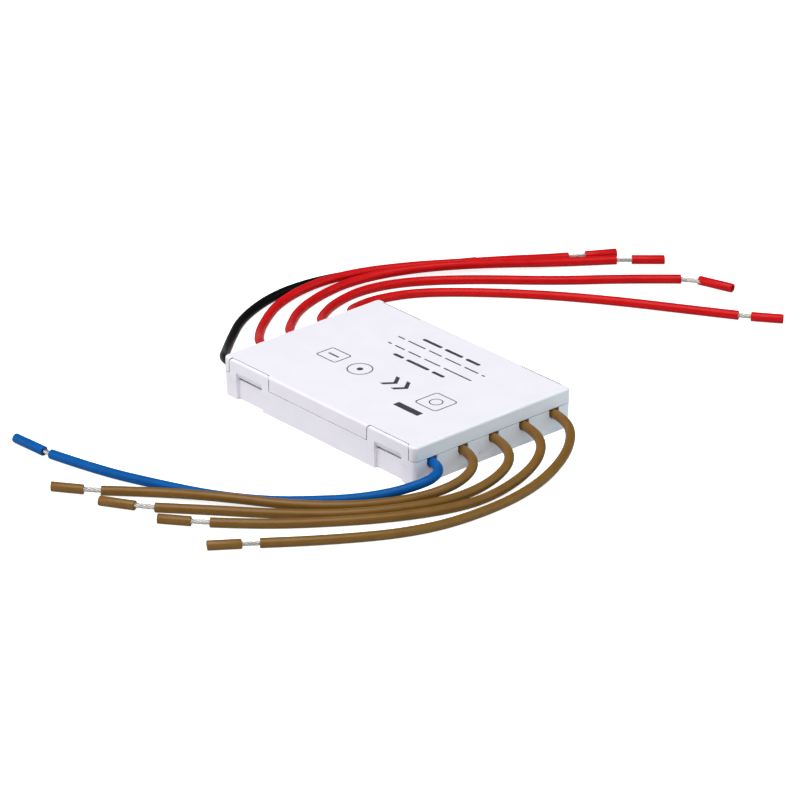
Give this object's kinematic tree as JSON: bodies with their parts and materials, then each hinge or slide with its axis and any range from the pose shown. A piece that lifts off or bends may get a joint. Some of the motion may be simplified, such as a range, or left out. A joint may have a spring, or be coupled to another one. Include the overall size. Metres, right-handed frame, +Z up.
{
  "type": "switch decoupler module",
  "caption": "Flat white snap case with a circuit board inside and flexible leads at both ends, each with a loose stripped slug on its tip, for wall switch wiring.",
  "frame": {"origin": "centre of the underside of the case, leads left out", "axes": "+X to the mains end with the blue and brown leads, +Y across the case, +Z up out of the cover"},
  "size_m": [0.0937, 0.148, 0.0076],
  "materials": {
    "base_plastic": "fine satin moulding",
    "cover_plastic": "fine satin moulding",
    "board": "solder mask over glass laminate",
    "solder": "bright tin solder",
    "tinned_leads": "matt tin",
    "moulded_black": "moulded epoxy",
    "resistor_body": "glazed film on ceramic",
    "capacitor_body": "sintered ceramic",
    "blue_insulation": "glossy PVC",
    "brown_insulation": "glossy PVC",
    "black_insulation": "glossy PVC",
    "red_insulation": "glossy PVC",
    "tinned_copper": "tinned stranded copper"
  },
  "bodies": {
    "housing": {"base_shell": "base_plastic", "circuit_board": "board", "solder_joints": "solder", "optocoupler_1": "moulded_black", "optocoupler_2": "moulded_black", "optocoupler_3": "moulded_black", "optocoupler_4": "moulded_black", "optocoupler_leads": "tinned_leads", "series_resistors": "resistor_body", "rectifier_diodes": "moulded_black", "smoothing_capacitors": "capacitor_body", "output_resistors": "resistor_body", "blue_wire_insulation": "blue_insulation", "brown_wire_1_insulation": "brown_insulation", "brown_wire_2_insulation": "brown_insulation", "brown_wire_3_insulation": "brown_insulation", "brown_wire_4_insulation": "brown_insulation", "black_wire_insulation": "black_insulation", "red_wire_1_insulation": "red_insulation", "red_wire_2_insulation": "red_insulation", "red_wire_3_insulation": "red_insulation", "red_wire_4_insulation": "red_insulation", "blue_wire_strand": "tinned_copper", "brown_wire_1_strand": "tinned_copper", "brown_wire_2_strand": "tinned_copper", "brown_wire_3_strand": "tinned_copper", "brown_wire_4_strand": "tinned_copper", "black_wire_strand": "tinned_copper", "red_wire_1_strand": "tinned_copper", "red_wire_2_strand": "tinned_copper", "red_wire_3_strand": "tinned_copper", "red_wire_4_strand": "tinned_copper"},
    "cover": {"cover": "cover_plastic"},
    "blue_wire_end_slug": {"blue_wire_end_slug": "blue_insulation"},
    "brown_wire_1_end_slug": {"brown_wire_1_end_slug": "brown_insulation"},
    "brown_wire_2_end_slug": {"brown_wire_2_end_slug": "brown_insulation"},
    "brown_wire_3_end_slug": {"brown_wire_3_end_slug": "brown_insulation"},
    "brown_wire_4_end_slug": {"brown_wire_4_end_slug": "brown_insulation"},
    "black_wire_end_slug": {"black_wire_end_slug": "black_insulation"},
    "red_wire_1_end_slug": {"red_wire_1_end_slug": "red_insulation"},
    "red_wire_2_end_slug": {"red_wire_2_end_slug": "red_insulation"},
    "red_wire_3_end_slug": {"red_wire_3_end_slug": "red_insulation"},
    "red_wire_4_end_slug": {"red_wire_4_end_slug": "red_insulation"}
  },
  "joints": [
    {"name": "cover_lift", "type": "slide", "parent": "housing", "child": "cover", "axis": [0, 0, 1], "range_m": [0, 0.012]},
    {"name": "blue_wire_slug_pull", "type": "slide", "parent": "housing", "child": "blue_wire_end_slug", "axis": [-0.9979, -0.0652, 0], "range_m": [0, 0.009]},
    {"name": "brown_wire_1_slug_pull", "type": "slide", "parent": "housing", "child": "brown_wire_1_end_slug", "axis": [-0.8066, -0.5911, 0], "range_m": [0, 0.0073]},
    {"name": "brown_wire_2_slug_pull", "type": "slide", "parent": "housing", "child": "brown_wire_2_end_slug", "axis": [-0.8546, -0.5193, 0], "range_m": [0, 0.0079]},
    {"name": "brown_wire_3_slug_pull", "type": "slide", "parent": "housing", "child": "brown_wire_3_end_slug", "axis": [-0.7845, -0.6201, 0], "range_m": [0, 0.0073]},
    {"name": "brown_wire_4_slug_pull", "type": "slide", "parent": "housing", "child": "brown_wire_4_end_slug", "axis": [-0.5816, -0.8134, 0], "range_m": [0, 0.0073]},
    {"name": "black_wire_slug_pull", "type": "slide", "parent": "housing", "child": "black_wire_end_slug", "axis": [0.4784, 0.8782, 0], "range_m": [0, 0.0077]},
    {"name": "red_wire_1_slug_pull", "type": "slide", "parent": "housing", "child": "red_wire_1_end_slug", "axis": [0.4951, 0.8688, 0], "range_m": [0, 0.0076]},
    {"name": "red_wire_2_slug_pull", "type": "slide", "parent": "housing", "child": "red_wire_2_end_slug", "axis": [0.6699, 0.7425, 0], "range_m": [0, 0.0077]},
    {"name": "red_wire_3_slug_pull", "type": "slide", "parent": "housing", "child": "red_wire_3_end_slug", "axis": [0.958, 0.2867, 0], "range_m": [0, 0.0085]},
    {"name": "red_wire_4_slug_pull", "type": "slide", "parent": "housing", "child": "red_wire_4_end_slug", "axis": [0.7932, 0.609, 0], "range_m": [0, 0.0075]}
  ]
}
